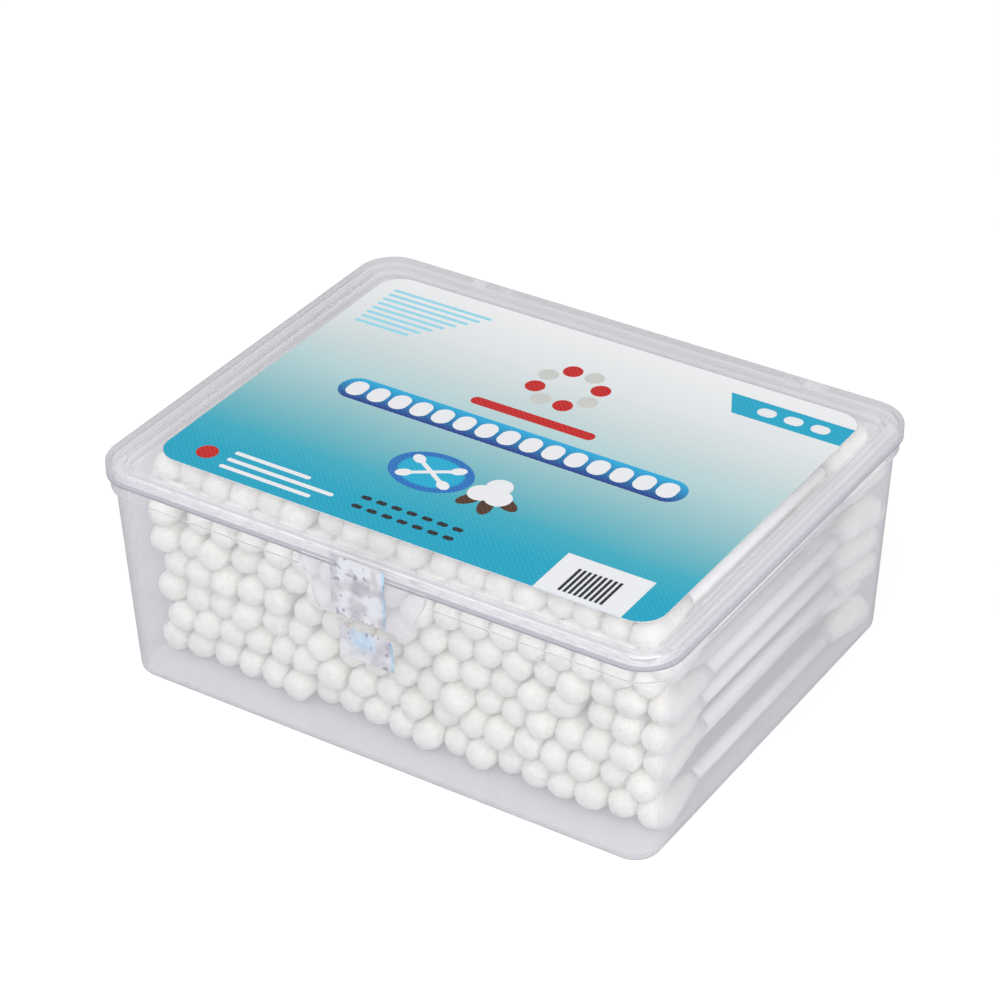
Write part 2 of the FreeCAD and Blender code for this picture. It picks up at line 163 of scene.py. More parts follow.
# Cotton and paper
COTTON_COLOUR = (0.9, 0.9, 0.88)
COTTON_ROUGHNESS = 0.95
COTTON_SHINE = 0.1
COTTON_SOFTNESS = 0.75
COTTON_GLOW = (1.0, 0.95, 0.85)
COTTON_GLOW_DEPTH = 0.004
COTTON_DEPTH = 0.0007
STRAND_GRAIN = 3.2
STREAK_SHARE = 0.6
FLUFF_HEIGHT = 0.35
TUFT_HEIGHT = 0.5
FLUFF_GRAIN = 2600.0
TUFT_GRAIN = 800.0
PAPER_COLOUR = (0.9, 0.9, 0.9)
PAPER_ROUGHNESS = 0.6
PAPER_GRAIN = 2600.0
GRAIN_STRETCH = (1.0, 0.08, 1.0)
PAPER_DEPTH = 0.00004

# Swabs, in millimetres; a stick has a ring of points at each of these shares of its length
ROWS = 8
TIP_RADIUS = 2.8
TIP_SIDES = 36
STICK_RADIUS = 1.15
STICK_SIDES = 12
STICK_START = 12.5
STICK_RINGS = (0.0, 0.5, 1.0)

# How points and swabs of the plain solids are told apart, in millimetres
SAME_PLACE = 0.01
SAME_SWAB = 0.02
NEXT_SWAB = 0.03
SAME_LEVEL = 0.05
LEAST_TIP_WIDTH = 1.0
PLAIN_TIP_WIDTH = 5.1
MOST_TIP_WIDTH = 6.0

# A tip's outline from its end inwards: millimetres along it, and its width as a share of its radius
TIP_PROFILE = [
    (0.0, 0.0),
    (0.04, 0.17),
    (0.16, 0.36),
    (0.42, 0.57),
    (0.85, 0.76),
    (1.4, 0.90),
    (2.1, 0.98),
    (2.8, 1.0),
    (3.5, 0.995),
    (4.3, 0.98),
    (5.2, 0.945),
    (6.1, 0.91),
    (7.1, 0.86),
    (8.1, 0.805),
    (9.2, 0.74),
    (10.4, 0.67),
    (11.6, 0.60),
    (13.0, 0.52),
    (14.0, 0.46),
]

# How tips differ: shares of the usual size, and the twist of the winding in radians a millimetre
TIP_SIZES = (0.94, 1.01)
TIP_LENGTHS = (0.94, 1.06)
NOSE_LENGTHS = (0.8, 1.3)
NOSE_END = 2.4
TIP_LEAN = 0.35
TWISTS = (0.10, 0.22)

# A point's place in the winding's noise: how far out it starts round a tip, and its step a millimetre along
WINDING_CORE = 0.5
WINDING_PITCH = 0.12

# Lumps as shares of a tip's radius, the finer ones as shares of those, and how fine each is round and along
LUMPS = 0.11
LUMP_ROUND = 1.2
LUMP_ALONG = 300
FINE_LUMPS = 0.5
FINE_LUMP_ROUND = 3.1
FINE_LUMP_ALONG = 800
TUFTS = 0.35
TUFT_ROUND = 7.0
TUFT_ALONG = 1800

# How soon lumps reach their full height as a tip widens, and how far apart tips may lie in the noise
LUMP_GROWTH = 1.5
NOISE_REACH = 90

# Loose fibres on each tip, in millimetres; the path is shares of a fibre's length and of its lift
FUZZ_COUNT = 44
FUZZ_WIDTH = 0.024
FUZZ_LIFT = 0.28
FUZZ_LENGTHS = (0.5, 1.3)
FUZZ_CURL = 0.2
FUZZ_TAPER = 0.2
FUZZ_SIDES = 3
FUZZ_PATH = ((0.0, -0.15), (0.35, 0.7), (0.7, 1.0), (1.0, 0.5))
FUZZ_BELOW = 0.15
FUZZ_ABOVE = 0.12

# Where fibres start, in rings from a tip's nose, and how they rise, sweep along the tip and bend
FUZZ_FIRST_RING = 2
FUZZ_LAST_RING = len(TIP_PROFILE) - 4
FUZZ_THINNING = 0.25
NOSE_RINGS = 6
FUZZ_RISES = (0.3, 1.0)
FUZZ_SWEEPS = (-0.4, 1.0)
FUZZ_BEND = 3.0

# How far apart the layers' seeds lie, for tips and for fibres
TIP_SEEDS = 1000
FUZZ_SEEDS = 999

# How the pile is disturbed and settled, in millimetres; squashed tips lie this share of their radii apart
PILE_SEED = 11
UNREST = 1.4
SKEW = 0.7
SLIDE_BACK = -0.7
SLIDE_IN = 1.0
SQUASH = 0.955
SETTLE_ROUNDS = 90

# The room for the pile, in millimetres
PILE_LOW = 1.25
PILE_HIGH = 40.55
INSIDE_AT_TOP = 51.5
INSIDE_DRAFT = 2.1
INSIDE_LIP = 50.2
LIP_LOW = 38.2
TUB_HEIGHT = 39.0
WALL_GAP = 0.15


def make_camera():
    """The camera at the photograph's angle, with no shift and no depth of field."""
    back = Vector(
        (
            math.sin(VIEW_AZIMUTH) * math.cos(VIEW_ELEVATION),
            -math.cos(VIEW_AZIMUTH) * math.cos(VIEW_ELEVATION),
            math.sin(VIEW_ELEVATION),
        )
    )
    level = (-back).cross(Vector((0, 0, 1))).normalized()
    up = level.cross(-back)
    right = level * math.cos(VIEW_ROLL) + up * math.sin(VIEW_ROLL)
    up = up * math.cos(VIEW_ROLL) - level * math.sin(VIEW_ROLL)
    data = bpy.data.cameras.new("camera")
    data.lens = VIEW_LENS
    data.sensor_width = SENSOR
    data.clip_start = 0.01
    camera = bpy.data.objects.new("camera", data)
    turn = Matrix((right, up, back)).transposed().to_4x4()
    place = back * VIEW_DISTANCE + right * VIEW_RIGHT + up * VIEW_UP
    camera.matrix_world = Matrix.Translation(place) @ turn
    bpy.context.scene.collection.objects.link(camera)
    bpy.context.scene.camera = camera


def soft_lamp(name, place, size, power):
    """A square lamp that faces the middle of the box; size in metres, power in watts."""
    data = bpy.data.lights.new(name, "AREA")
    data.shape = "SQUARE"
    data.size = size
    data.energy = power
    lamp = bpy.data.objects.new(name, data)
    lamp.location = place
    aim = Vector((0, 0, cad_high.z / 2)) - Vector(place)
    lamp.rotation_euler = aim.to_track_quat("-Z", "Y").to_euler()
    bpy.context.scene.collection.objects.link(lamp)


class Shader:
    """A material's node tree, with short calls for adding nodes and joining them."""

    def __init__(self, name):
        self.material = bpy.data.materials.new(name)
        self.material.use_nodes = True
        self.tree = self.material.node_tree
        self.tree.nodes.clear()
        self.output = self.add("ShaderNodeOutputMaterial")

    def add(self, kind, **values):
        """A new node, with its properties set by name."""
        node = self.tree.nodes.new(kind)
        for key, value in values.items():
            setattr(node, key, value)
        return node

    def join(self, source, target):
        """Links an output socket to an input socket."""
        self.tree.links.new(source, target)

    def surface(self, shader):
        """Makes this shader the material's surface."""
        self.join(shader, self.output.inputs["Surface"])

    def principled(self, colour=(0.8, 0.8, 0.8), roughness=0.5):
        """A Principled shader with its plain values set."""
        node = self.add("ShaderNodeBsdfPrincipled")
        node.inputs["Base Color"].default_value = (*colour, 1)
        node.inputs["Roughness"].default_value = roughness
        return node

    def object_place(self, scale=(1, 1, 1), turn=(0, 0, 0)):
        """Places on the object in metres, scaled and turned."""
        coords = self.add("ShaderNodeTexCoord")
        mapping = self.add("ShaderNodeMapping")
        mapping.inputs["Scale"].default_value = scale
        mapping.inputs["Rotation"].default_value = turn
        self.join(coords.outputs["Object"], mapping.inputs["Vector"])
        return mapping.outputs["Vector"]

    def axes(self):
        """The X, Y and Z of places on the object, in metres."""
        coords = self.add("ShaderNodeTexCoord")
        split = self.add("ShaderNodeSeparateXYZ")
        self.join(coords.outputs["Object"], split.inputs[0])
        return split.outputs["X"], split.outputs["Y"], split.outputs["Z"]

    def spread(self, value, low, high):
        """How far a value has come from low to high, from 0 to 1."""
        node = self.add("ShaderNodeMapRange")
        node.inputs["From Min"].default_value = low
        node.inputs["From Max"].default_value = high
        self.join(value, node.inputs["Value"])
        return node.outputs["Result"]

    def noise(self, place, scale, detail=3.0, roughness=0.5):
        """Soft noise from 0 to 1."""
        node = self.add("ShaderNodeTexNoise")
        node.inputs["Scale"].default_value = scale
        node.inputs["Detail"].default_value = detail
        node.inputs["Roughness"].default_value = roughness
        self.join(place, node.inputs["Vector"])
        return node.outputs["Fac"]

    def ramp(self, value, stops):
        """Colours along a value from 0 to 1; stops are (place, (r, g, b))."""
        node = self.add("ShaderNodeValToRGB")
        points = node.color_ramp.elements
        while len(points) < len(stops):
            points.new(0.5)
        for point, (place, colour) in zip(points, stops):
            point.position = place
            point.color = (*colour, 1)
        self.join(value, node.inputs["Fac"])
        return node.outputs["Color"]

    def maths(self, operation, a, b=None):
        """One operation on one or two values, each a socket or a number."""
        node = self.add("ShaderNodeMath", operation=operation)
        for socket, value in zip(node.inputs, (a, b)):
            if isinstance(value, (int, float)):
                socket.default_value = value
            elif value is not None:
                self.join(value, socket)
        return node.outputs[0]

    def product(self, *values):
        """All the values multiplied together."""
        total = values[0]
        for value in values[1:]:
            total = self.maths("MULTIPLY", total, value)
        return total

    def mix_colour(self, share, a, b, blend="MIX"):
        """A mix of two colours, each a socket or (r, g, b)."""
        node = self.add("ShaderNodeMix", data_type="RGBA", blend_type=blend)
        for socket, value in ((node.inputs[0], share), (node.inputs[6], a), (node.inputs[7], b)):
            if isinstance(value, (int, float)):
                socket.default_value = value
            elif isinstance(value, tuple):
                socket.default_value = (*value, 1)
            else:
                self.join(value, socket)
        return node.outputs[2]

    def mix_shader(self, share, first, second):
        """A mix of two shaders, by a socket or a number."""
        node = self.add("ShaderNodeMixShader")
        if isinstance(share, (int, float)):
            node.inputs[0].default_value = share
        else:
            self.join(share, node.inputs[0])
        self.join(first, node.inputs[1])
        self.join(second, node.inputs[2])
        return node.outputs[0]

    def plain(self, kind, colour):
        """A shader with nothing but a colour."""
        node = self.add(kind)
        node.inputs["Color"].default_value = (*colour, 1)
        return node

    def bump(self, height, distance, strength=1.0):
        """A bump from a height socket, with its real depth in metres."""
        node = self.add("ShaderNodeBump")
        node.inputs["Strength"].default_value = strength
        node.inputs["Distance"].default_value = distance
        self.join(height, node.inputs["Height"])
        return node.outputs["Normal"]


def milky_rim_and_seam_shade(s, milky):
    """The lid's haze and its colour: milkier at the rim, with a painted shade line at the seam in place of
    the darkening that light bent inside the plastic gives there.
    """
    x, y, z = s.axes()
    sides = s.maths("SUBTRACT", s.maths("ABSOLUTE", x), cad_high.x - RIM_WIDTH)
    ends = s.maths("SUBTRACT", s.maths("ABSOLUTE", y), -cad_low.y - RIM_WIDTH)
    rim = s.spread(s.maths("MAXIMUM", sides, ends), RIM_FADE_IN, RIM_FADE_OUT)
    above = s.maths("GREATER_THAN", z, SEAM_SHADE_LOW)
    below = s.maths("LESS_THAN", z, SEAM_SHADE_HIGH)
    share = s.maths("ADD", s.product(above, RIM_HAZE - TAB_HAZE), TAB_HAZE)
    milky = s.maths("MAXIMUM", milky, s.product(rim, share))
    # A thin band at the seam's height, where the haze turns to the painted shade colour
    line = s.product(above, below, SEAM_SHADE_SHARE)
    return s.maths("MAXIMUM", milky, line), s.mix_colour(line, HAZE_COLOUR, SEAM_SHADE_COLOUR)


def clear_plastic(name, tint, seam=False):
    """Clear moulded plastic: it bends the view a little, shines, and lets lamps and soft light pass."""
    s = Shader(name)
    body = s.principled(tint, PLASTIC_ROUGHNESS)
    body.inputs["Transmission Weight"].default_value = 1.0
    body.inputs["IOR"].default_value = PLASTIC_BEND
    body.inputs["Coat Weight"].default_value = 1.0
    body.inputs["Coat IOR"].default_value = COAT_BEND
    body.inputs["Coat Roughness"].default_value = PLASTIC_ROUGHNESS
    wear = s.product(s.noise(s.object_place(), WEAR_GRAIN, 4.0, 0.7), PLASTIC_WEAR)
    rough = s.maths("ADD", wear, LEAST_ROUGHNESS)
    s.join(rough, body.inputs["Roughness"])
    s.join(rough, body.inputs["Coat Roughness"])
    weight = s.add("ShaderNodeLayerWeight")
    weight.inputs["Blend"].default_value = 0.5
    slant = weight.outputs["Facing"]
    s.join(s.ramp(slant, [(EDGE_TINT_FROM, tint), (EDGE_ON, EDGE_TINT)]), body.inputs["Base Color"])
    haze = s.plain("ShaderNodeBsdfDiffuse", HAZE_COLOUR)
    steps = ((SQUARE_ON, PLASTIC_HAZE), (SLANTED, SLANT_HAZE), (EDGE_ON, EDGE_HAZE))
    milky = s.ramp(slant, [(turned, (share, share, share)) for turned, share in steps])
    # The lid gets its milkier rim and a painted shade line at the seam
    if seam:
        milky, haze_and_seam_shade_colour = milky_rim_and_seam_shade(s, milky)
        s.join(haze_and_seam_shade_colour, haze.inputs["Color"])
    hazy = s.mix_shader(milky, body.outputs[0], haze.outputs[0])
    open_air = s.plain("ShaderNodeBsdfTransparent", SOFT_LIGHT_TINT)
    rays = s.add("ShaderNodeLightPath")
    soft = s.maths("MAXIMUM", rays.outputs["Is Shadow Ray"], rays.outputs["Is Diffuse Ray"])
    s.surface(s.mix_shader(soft, hazy, open_air.outputs[0]))
    return s.material


def printed(s, shader, colour):
    """Finishes a print as satin film with a fine woven emboss, a little paler on its raised threads."""
    heights = []
    for turn in (math.radians(45), math.radians(-45)):
        wave = s.add("ShaderNodeTexWave", wave_type="BANDS", bands_direction="X")
        wave.inputs["Scale"].default_value = WEAVE_FINENESS
        wave.inputs["Distortion"].default_value = WEAVE_WOBBLE
        wave.inputs["Detail"].default_value = 1.0
        s.join(s.object_place(turn=(0, 0, turn)), wave.inputs["Vector"])
        heights.append(wave.outputs["Fac"])
    weave = s.product(*heights)
    s.join(s.bump(weave, WEAVE_DEPTH, 0.5), shader.inputs["Normal"])
    shader.inputs["Specular IOR Level"].default_value = PRINT_SHINE
    s.join(s.mix_colour(s.product(weave, WEAVE_SHARE), colour, WHITE), shader.inputs["Base Color"])
    s.surface(shader.outputs[0])
    return s.material


def label_gradient():
    """The label's colour from deep cyan at the front edge to near white at the back."""
    low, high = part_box("label_sheet")
    s = Shader("label_gradient")
    shader = s.principled(roughness=PRINT_ROUGHNESS)
    _x, y, _z = s.axes()
    wander = s.maths("SUBTRACT", s.noise(s.object_place(), GRADIENT_GRAIN, 2.0), 0.5)
    colour = s.ramp(
        s.maths("ADD", s.spread(y, low.y, high.y), s.product(wander, GRADIENT_DRIFT)),
        [
            (0.0, (0.002, 0.286, 0.425)),
            (0.10, (0.003, 0.292, 0.428)),
            (0.20, (0.032, 0.320, 0.420)),
            (0.30, (0.119, 0.368, 0.430)),
            (0.42, (0.239, 0.435, 0.468)),
            (0.55, (0.372, 0.520, 0.540)),
            (0.68, (0.492, 0.563, 0.576)),
            (0.82, (0.611, 0.632, 0.644)),
            (1.0, (0.690, 0.697, 0.712)),
        ],
    )
    return printed(s, shader, colour)


def badge_print(name, ring, inside, flag):
    """Blue print: the badge has a darker ring round a lighter inside, and the flag is plain."""
    s = Shader(name)
    shader = s.principled(flag, PRINT_ROUGHNESS)
    x, y, _z = s.axes()
    across = s.maths("DIVIDE", s.maths("SUBTRACT", x, BADGE_X), BADGE_HALF_LENGTH)
    along = s.maths("DIVIDE", s.maths("SUBTRACT", y, BADGE_Y), BADGE_HALF_WIDTH)
    away = s.maths("SQRT", s.maths("ADD", s.product(across, across), s.product(along, along)))
    colour = s.ramp(s.product(away, 0.5), [(0.37, inside), (0.40, ring), (0.50, ring), (0.56, flag)])
    return printed(s, shader, colour)


def plain_print(name, colour, roughness=PRINT_ROUGHNESS):
    """Ink of one colour."""
    s = Shader(name)
    return printed(s, s.principled(colour, roughness), colour)


def fading_print(name, node, colour, far_colour):
    """Ink that fades from one colour to another towards the back of its own shape."""
    low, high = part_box(node)
    s = Shader(name)
    shader = s.principled(colour, PRINT_ROUGHNESS)
    _x, y, _z = s.axes()
    return printed(s, shader, s.mix_colour(s.spread(y, low.y, high.y), colour, far_colour))


def blue_patch(s, x, z, middle):
    """A soft-edged squarish patch about a place on the seal: 1 in its middle, 0 outside."""
    across = s.maths("DIVIDE", s.maths("SUBTRACT", x, middle[0]), BLUE_PATCH_HALF_WIDTH)
    up = s.maths("DIVIDE", s.maths("SUBTRACT", z, middle[1]), BLUE_PATCH_HALF_HEIGHT)
    cubes = [s.maths("POWER", s.maths("ABSOLUTE", value), 3.0) for value in (across, up)]
    return s.maths("SUBTRACT", 1.0, s.maths("MINIMUM", s.maths("ADD", *cubes), 1.0))


def seal_film(name, clear_share, clear_to, marks_from, blue_middle=None):
    """Silvery seal film with lilac and pale blue patches, clearer where the print is thin."""
    s = Shader(name)
    shader = s.principled(SEAL_COLOUR, SEAL_ROUGHNESS)
    shader.inputs["Metallic"].default_value = SEAL_METAL
    place = s.object_place()
    patches = s.noise(place, SEAL_PATCHES, 2.0)
    flakes = s.add("ShaderNodeTexVoronoi")
    flakes.inputs["Scale"].default_value = SEAL_FLAKES
    s.join(place, flakes.inputs["Vector"])
    flake = s.add("ShaderNodeSeparateColor")
    s.join(flakes.outputs["Color"], flake.inputs[0])
    colour = s.ramp(
        patches,
        [
            (0.30, (0.52, 0.51, 0.58)),
            (0.44, (0.68, 0.675, 0.715)),
            (0.54, (0.72, 0.72, 0.742)),
            (0.66, (0.67, 0.70, 0.745)),
        ],
    )
    colour = s.mix_colour(s.product(flake.outputs[0], FLAKE_SHARE), colour, FLAKE_COLOUR)
    x, _y, z = s.axes()
    if blue_middle is not None:
        blue = s.product(blue_patch(s, x, z, blue_middle), BLUE_PATCH_SHARE)
        colour = s.mix_colour(blue, colour, BLUE_PATCH_COLOUR)
    edge = s.spread(x, BLUE_EDGE_FROM, BLUE_EDGE_TO)
    colour = s.mix_colour(s.product(edge, BLUE_EDGE_SHARE), colour, BLUE_EDGE_COLOUR)
    marks = s.noise(s.object_place((1.0, 1.0, 0.8)), SEAL_MARKS, 1.0)
    dark = s.ramp(marks, [(marks_from, BLACK), (marks_from + MARK_BLUR, WHITE)])
    colour = s.mix_colour(s.product(dark, MARK_SHARE), colour, MARK_COLOUR)
    s.join(colour, shader.inputs["Base Color"])
    s.join(s.bump(flakes.outputs["Distance"], SEAL_DEPTH, 0.4), shader.inputs["Normal"])
    clear = s.plain("ShaderNodeBsdfTransparent", THIN_TINT)
    thin = s.ramp(patches, [(clear_to - THIN_FADE, WHITE), (clear_to, BLACK)])
    share = s.product(thin, clear_share, s.maths("SUBTRACT", 1.0, dark))
    s.surface(s.mix_shader(share, shader.outputs[0], clear.outputs[0]))
    return s.material


def new_mesh(name, verts, faces, materials):
    """A mesh with its materials in order."""
    mesh = bpy.data.meshes.new(name)
    mesh.from_pydata(verts, [], faces)
    for material in materials:
        mesh.materials.append(material)
    return mesh


def new_piece(mesh):
    """A finished mesh as an object in the scene."""
    mesh.validate()
    piece = bpy.data.objects.new(mesh.name, mesh)
    bpy.context.scene.collection.objects.link(piece)
    return piece


def seal_strip(node, body, torn_low, torn_high, material, seed):
    """A thin strip on the face of its plain one, its ends torn by up to so many millimetres."""
    low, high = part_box(node)
    points = [v.co for v in nodes[node].data.vertices]
    foot_y = min(p.y for p in points if p.z < low.z + SAME_PLACE * MM)
    top_y = min(p.y for p in points if p.z > high.z - SAME_PLACE * MM)
    verts = []
    for depth in (0.0, SEAL_THICKNESS):
        ragged = random.Random(seed)
        for i in range(SEAL_COLUMNS + 1):
            x = low.x + (high.x - low.x) * i / SEAL_COLUMNS
            z0 = low.z + ragged.uniform(0.0, torn_low) * MM
            z1 = high.z - ragged.uniform(0.0, torn_high) * MM
            for r in range(SEAL_ROWS + 1):
                z = z0 + (z1 - z0) * r / SEAL_ROWS
                y = foot_y + (top_y - foot_y) * (z - low.z) / (high.z - low.z)
                verts.append(Vector((x, y + depth, z)))
    stride = SEAL_ROWS + 1
    half = (SEAL_COLUMNS + 1) * stride
    faces = []
    for i in range(SEAL_COLUMNS):
        for r in range(SEAL_ROWS):
            a = i * stride + r
            faces.append((a, a + stride, a + stride + 1, a + 1))
            faces.append((half + a, half + a + 1, half + a + stride + 1, half + a + stride))
    for i in range(SEAL_COLUMNS):
        for r in (0, SEAL_ROWS):
            a = i * stride + r
            quad = (a, half + a, half + a + stride, a + stride)
            faces.append(quad if r == 0 else quad[::-1])
    for r in range(SEAL_ROWS):
        for i in (0, SEAL_COLUMNS):
            a = i * stride + r
            quad = (a, a + 1, half + a + 1, half + a)
            faces.append(quad if i == 0 else quad[::-1])
    piece = new_piece(new_mesh(node + "_film", verts, faces, [material]))
    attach(piece, body)
    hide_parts(node)


def label_backing():
    """The label's film with a white underside, just clear of the lid."""
    low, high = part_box("label_sheet")
    left, right = low.x + LABEL_CORNER, high.x - LABEL_CORNER
    near, far = low.y + LABEL_CORNER, high.y - LABEL_CORNER
    outline = []
    for cx, cy, first in ((right, near, -90), (right, far, 0), (left, far, 90), (left, near, 180)):
        for i in range(CORNER_STEPS + 1):
            a = math.radians(first + 90 * i / CORNER_STEPS)
            outline.append((cx + LABEL_CORNER * math.cos(a), cy + LABEL_CORNER * math.sin(a)))
    count = len(outline)
    verts = [(x, y, low.z + LABEL_CLEARANCE) for x, y in outline] + [(x, y, high.z) for x, y in outline]
    faces = [tuple(reversed(range(count))), tuple(range(count, 2 * count))]
    for i in range(count):
        j = (i + 1) % count
        faces.append((i, j, count + j, count + i))
    white = plain_print("label_underside", UNDERSIDE, roughness=0.5)
    piece = new_piece(new_mesh("label_sheet_film", verts, faces, [white]))
    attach(piece, "lid")
    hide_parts("label_sheet")


def cotton():
    """Soft wound cotton, warm white, with fibres that run round and along each tip."""
    s = Shader("cotton")
    shader = s.principled(COTTON_COLOUR, COTTON_ROUGHNESS)
    shader.inputs["Specular IOR Level"].default_value = COTTON_SHINE
    shader.inputs["Subsurface Weight"].default_value = COTTON_SOFTNESS
    shader.inputs["Subsurface Radius"].default_value = COTTON_GLOW
    shader.inputs["Subsurface Scale"].default_value = COTTON_GLOW_DEPTH
    wound = s.add("ShaderNodeAttribute", attribute_name="wound")
    strands = s.noise(wound.outputs["Vector"], STRAND_GRAIN, 4.0, 0.65)
    fluff = s.noise(s.object_place(), FLUFF_GRAIN, 3.0, 0.7)
    tufts = s.noise(s.object_place(), TUFT_GRAIN, 2.0)
    colour = s.ramp(
        tufts,
        [(0.3, (0.945, 0.922, 0.788)), (0.5, (0.970, 0.950, 0.826)), (0.7, (0.978, 0.962, 0.850))],
    )
    streak = s.ramp(strands, [(0.3, (0.93, 0.925, 0.91)), (0.6, WHITE)])
    s.join(s.mix_colour(STREAK_SHARE, colour, streak, "MULTIPLY"), shader.inputs["Base Color"])
    height = s.maths("ADD", strands, s.product(fluff, FLUFF_HEIGHT))
    height = s.maths("ADD", height, s.product(tufts, TUFT_HEIGHT))
    s.join(s.bump(height, COTTON_DEPTH), shader.inputs["Normal"])
    s.surface(shader.outputs[0])
    return s.material


def paper_stick():
    """Rolled white paper with a faint grain along it."""
    s = Shader("paper_stick")
    shader = s.principled(PAPER_COLOUR, PAPER_ROUGHNESS)
    grain = s.noise(s.object_place(GRAIN_STRETCH), PAPER_GRAIN, 3.0)
    colour = s.ramp(grain, [(0.3, (0.82, 0.82, 0.80)), (0.7, (0.88, 0.88, 0.86))])
    s.join(colour, shader.inputs["Base Color"])
    s.join(s.bump(grain, PAPER_DEPTH, 0.5), shader.inputs["Normal"])
    s.surface(shader.outputs[0])
    return s.material


def dress(node, material):
    """Gives a carried node its finish."""
    mesh = nodes[node].data
    mesh.materials.clear()
    mesh.materials.append(material)


def add_tube(verts, faces, rings, closed_start, closed_end):
    """Joins rings of points, given from one end to the other, into a tube."""
    base = len(verts)
    sides = len(rings[0])
    for ring in rings:
        verts.extend(ring)
    for r in range(len(rings) - 1):
        for i in range(sides):
            j = (i + 1) % sides
            a = base + r * sides
            faces.append((a + i, a + j, a + sides + j, a + sides + i))
    if closed_start:
        faces.append(tuple(base + i for i in reversed(range(sides))))
    if closed_end:
        last = base + (len(rings) - 1) * sides
        faces.append(tuple(last + i for i in range(sides)))


def swab_lines(node):
    """For each swab of a plain row: its middle across the box, its height and the Y of its two ends.

    The swabs are told apart from left to right, by where the next one's tip starts.
    """
    low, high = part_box(node)
    z = (low.z + high.z) / 2
    points = [v.co for v in nodes[node].data.vertices]
    lines = []
    done = low.x
    while done < high.x - LEAST_TIP_WIDTH * MM:
        rest = [p for p in points if p.x > done - SAME_SWAB * MM]
        start = min(p.x for p in rest)
        reach = [p for p in rest if p.x < start + MOST_TIP_WIDTH * MM]
        own_y = min(p.y for p in rest if p.x < start + SAME_SWAB * MM)
        level = [p for p in reach if abs(p.z - z) < SAME_LEVEL * MM]
        same = [p.x for p in level if abs(p.y - own_y) < SAME_PLACE * MM]
        wide = [x for x in same if x > start + LEAST_TIP_WIDTH * MM]
        right = min(wide, default=start + PLAIN_TIP_WIDTH * MM)
        own = [p.y for p in reach if p.x <= right + SAME_PLACE * MM]
        lines.append(((start + right) / 2, z, min(own), max(own)))
        done = right + NEXT_SWAB * MM
    return lines


def settle(spots, radii):
    """Moves round tips apart until they only press together, inside the tub's walls and under the lid."""
    for _ in range(SETTLE_ROUNDS):
        for i, a in enumerate(spots):
            for j in range(i + 1, len(spots)):
                b = spots[j]
                dx = b[0] - a[0]
                dz = b[1] - a[1]
                need = (radii[i] + radii[j]) * SQUASH
                if abs(dx) > need or abs(dz) > need:
                    continue
                apart = math.hypot(dx, dz)
                if apart < need:
                    push = 0.5 * (need - apart) / max(apart, 1e-6)
                    a[0] -= dx * push
                    a[1] -= dz * push
                    b[0] += dx * push
                    b[1] += dz * push
        for spot, radius in zip(spots, radii):
            spot[1] = min(max(spot[1], PILE_LOW + radius), PILE_HIGH - radius)
            reach = INSIDE_AT_TOP - INSIDE_DRAFT * (1 - spot[1] / TUB_HEIGHT)
            if spot[1] + radius > LIP_LOW:
                reach = min(reach, INSIDE_LIP)
            reach -= radius + WALL_GAP
            spot[0] = min(max(spot[0], -reach), reach)


def arrange_pile(rows):
    """Where both ends of every swab lie: the plain rows, disturbed and settled again."""
    rng = random.Random(PILE_SEED)
    order = [(k, i) for k, row in enumerate(rows) for i in range(len(row))]
    radii = [TIP_RADIUS * rng.uniform(*TIP_SIZES) for _ in order]
    front = []
    for k, i in order:
        x, z, _y0, _y1 = rows[k][i]
        front.append([x / MM + rng.uniform(-1, 1) * UNREST, z / MM + rng.uniform(-1, 1) * UNREST])
    settle(front, radii)
    back = [[x + rng.uniform(-1, 1) * SKEW, z + rng.uniform(-1, 1) * SKEW] for x, z in front]
    settle(back, radii)
    places = {}
    for (k, i), a, b, radius in zip(order, front, back, radii):
        _x, _z, y0, y1 = rows[k][i]
        slide = rng.uniform(SLIDE_BACK, SLIDE_IN) * MM
        start = Vector((a[0] * MM, y0 + slide, a[1] * MM))
        end = Vector((b[0] * MM, y1 + slide, b[1] * MM))
        places.setdefault(k, []).append((start, end, radius * MM))
    return places


def tip_rings(start, line, radius, seed):
    """The rings of one lumpy cotton tip from its end inwards, and where each point lies in its winding."""
    rng = random.Random(seed)
    length = rng.uniform(*TIP_LENGTHS)
    nose = rng.uniform(*NOSE_LENGTHS)
    shift = Vector([rng.uniform(0, NOISE_REACH) for _ in range(3)])
    lean = Vector((rng.uniform(-1, 1), 0, rng.uniform(-1, 1))) * TIP_LEAN * MM
    twist = rng.uniform(*TWISTS) * rng.choice((-1, 1))
    rings = []
    wound = []
    for along, wide in TIP_PROFILE:
        reach = along * MM * (nose if along < NOSE_END else length)
        middle = start + line * reach + lean * max(0.0, 1 - along / NOSE_END)
        ring = []
        wind = []
        for i in range(TIP_SIDES):
            angle = 2 * math.pi * i / TIP_SIDES
            out = Vector((math.cos(angle), 0, math.sin(angle)))
            lump = noise.noise(out * LUMP_ROUND + shift + line * reach * LUMP_ALONG)
            fine = noise.noise(out * FINE_LUMP_ROUND + shift * 2 + line * reach * FINE_LUMP_ALONG)
            tuft = noise.noise(out * TUFT_ROUND * (0.3 + wide) + shift * 3 + line * reach * TUFT_ALONG)
            lump += FINE_LUMPS * fine
            lump += TUFTS * tuft
            ring.append(middle + out * radius * wide * (1 + LUMPS * lump * min(1.0, wide * LUMP_GROWTH)))
            turned = angle + twist * along
            spread = WINDING_CORE + wide
            place = (math.cos(turned) * spread, math.sin(turned) * spread, along * WINDING_PITCH)
            wind.append(shift + Vector(place))
        rings.append(ring)
        wound.append(wind)
    return rings, wound


